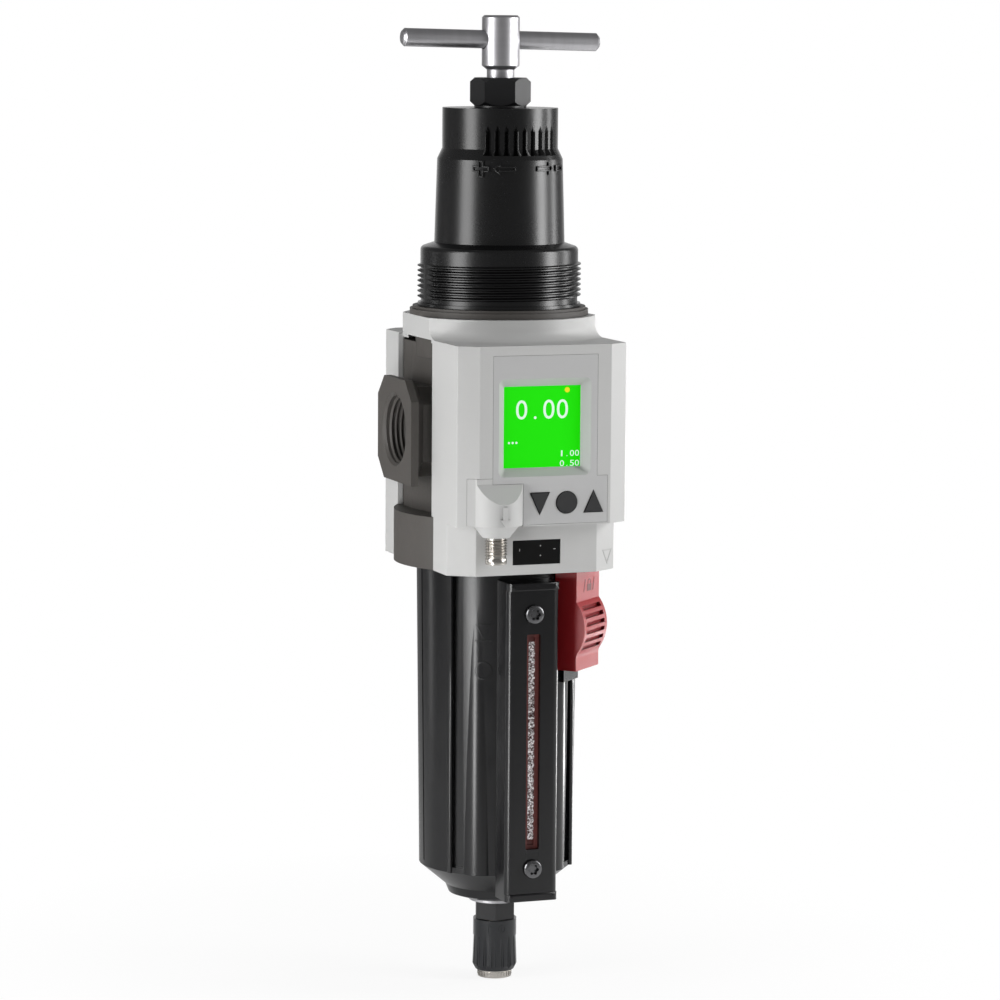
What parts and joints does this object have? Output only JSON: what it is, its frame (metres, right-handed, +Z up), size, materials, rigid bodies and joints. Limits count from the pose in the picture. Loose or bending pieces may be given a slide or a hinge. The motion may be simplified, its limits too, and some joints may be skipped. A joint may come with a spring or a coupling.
{
  "type": "compressed air filter regulator",
  "caption": "Filter regulator for compressed air with a T-bar adjusting screw, a display module, a locked metal bowl with a sight glass and a drain.",
  "frame": {"origin": "crossing of the axis through both ports with the vertical axis of bonnet and bowl", "axes": "+Z up along the bonnet and bowl axis, +X along the air flow towards the outlet, -Y towards the display"},
  "size_m": [0.08, 0.0949, 0.3542],
  "materials": {
    "casting_grey": "warm dark grey powder coat, fine grain",
    "bonnet_black": "satin black paint",
    "bowl_black": "satin black paint",
    "cover_grey": "light grey, fine texture",
    "panel_grey": "mid grey, smooth matt",
    "button_black": "black, satin",
    "screen": "lit green display behind a clear window",
    "insert_black": "black contact carrier",
    "plate_black": "bare black plate",
    "steel": "turned, fine rings",
    "spring_steel": "drawn wire",
    "nickel": "satin nickel plate",
    "contact_brass": "gold plated",
    "rubber_black": "nitrile rubber",
    "gasket_red": "red-brown rubber",
    "prism_clear": "clear moulded prism",
    "lock_red": "deep red, satin",
    "inner_plastic": "natural moulded plastic",
    "element_white": "sintered porous plastic",
    "nut_black": "black moulded",
    "knob_black": "black moulded, fluted"
  },
  "bodies": {
    "housing": {"body_casting": "casting_grey", "front_cover": "cover_grey", "rear_cover": "cover_grey", "display_module": "panel_grey", "display_screen": "screen", "sensor_seal": "rubber_black", "connector_housing": "cover_grey", "m8_connector": "nickel", "connector_insert": "insert_black", "connector_pins": "contact_brass", "inset_plate": "plate_black", "bonnet": "bonnet_black", "range_spring": "spring_steel", "diaphragm": "rubber_black", "valve_spring": "spring_steel", "valve_guide": "inner_plastic", "swirl_deflector": "inner_plastic", "filter_element": "element_white", "baffle": "inner_plastic", "filter_stud": "inner_plastic", "bowl": "bowl_black", "bowl_seal": "rubber_black", "sight_gasket": "gasket_red", "sight_prism": "prism_clear", "sight_cover": "bowl_black", "cover_screws": "bowl_black", "lock_spring": "spring_steel", "drain_washer": "steel", "drain_nut": "nut_black", "drain_stem": "nickel", "drain_seal": "rubber_black"},
    "spring_rest": {"spring_rest": "steel"},
    "screw": {"adjusting_screw": "steel", "t_bar": "steel"},
    "lock_nut": {"lock_nut": "nut_black"},
    "valve": {"diaphragm_plate": "steel", "valve_poppet": "contact_brass"},
    "button_down": {"button_down": "button_black"},
    "button_set": {"button_set": "button_black"},
    "button_up": {"button_up": "button_black"},
    "lock_slide": {"lock_slide": "lock_red"},
    "drain_knob": {"drain_knob": "knob_black"}
  },
  "joints": [
    {"name": "spring_rest_slide", "type": "slide", "parent": "housing", "child": "spring_rest", "axis": [0, 0, 1], "range_m": [-0.0027, 0.012], "deforming": ["range_spring"]},
    {"name": "screw_turn", "type": "hinge", "parent": "spring_rest", "child": "screw", "pos_m": [0, 0, 0.1404], "axis": [0, 0, 1], "range_deg": [-648, 2880]},
    {"name": "lock_nut_turn", "type": "hinge", "parent": "housing", "child": "lock_nut", "pos_m": [0, 0, 0.12145], "axis": [0, 0, 1], "range_deg": [0, 60]},
    {"name": "valve_open", "type": "slide", "parent": "housing", "child": "valve", "axis": [0, 0, 1], "range_m": [-0.0025, 0], "stiffness_N_per_m": 1500, "springref_m": 0.002, "deforming": ["valve_spring", "diaphragm"]},
    {"name": "button_down_press", "type": "slide", "parent": "housing", "child": "button_down", "axis": [0, 1, 0], "range_m": [0, 0.0006], "stiffness_N_per_m": 500, "springref_m": -0.0006},
    {"name": "button_set_press", "type": "slide", "parent": "housing", "child": "button_set", "axis": [0, 1, 0], "range_m": [0, 0.0006], "stiffness_N_per_m": 500, "springref_m": -0.0006},
    {"name": "button_up_press", "type": "slide", "parent": "housing", "child": "button_up", "axis": [0, 1, 0], "range_m": [0, 0.0006], "stiffness_N_per_m": 500, "springref_m": -0.0006},
    {"name": "lock_pull", "type": "slide", "parent": "housing", "child": "lock_slide", "axis": [0, 0, -1], "range_m": [0, 0.005], "stiffness_N_per_m": 400, "springref_m": -0.004, "deforming": ["lock_spring"]},
    {"name": "drain_turn", "type": "hinge", "parent": "housing", "child": "drain_knob", "pos_m": [0, 0, -0.19265], "axis": [0, 0, 1], "range_deg": [0, 90]}
  ],
  "couplings": [
    {"joint": "screw_turn", "follows": "spring_rest_slide", "rad_per_m": 4188.8}
  ]
}
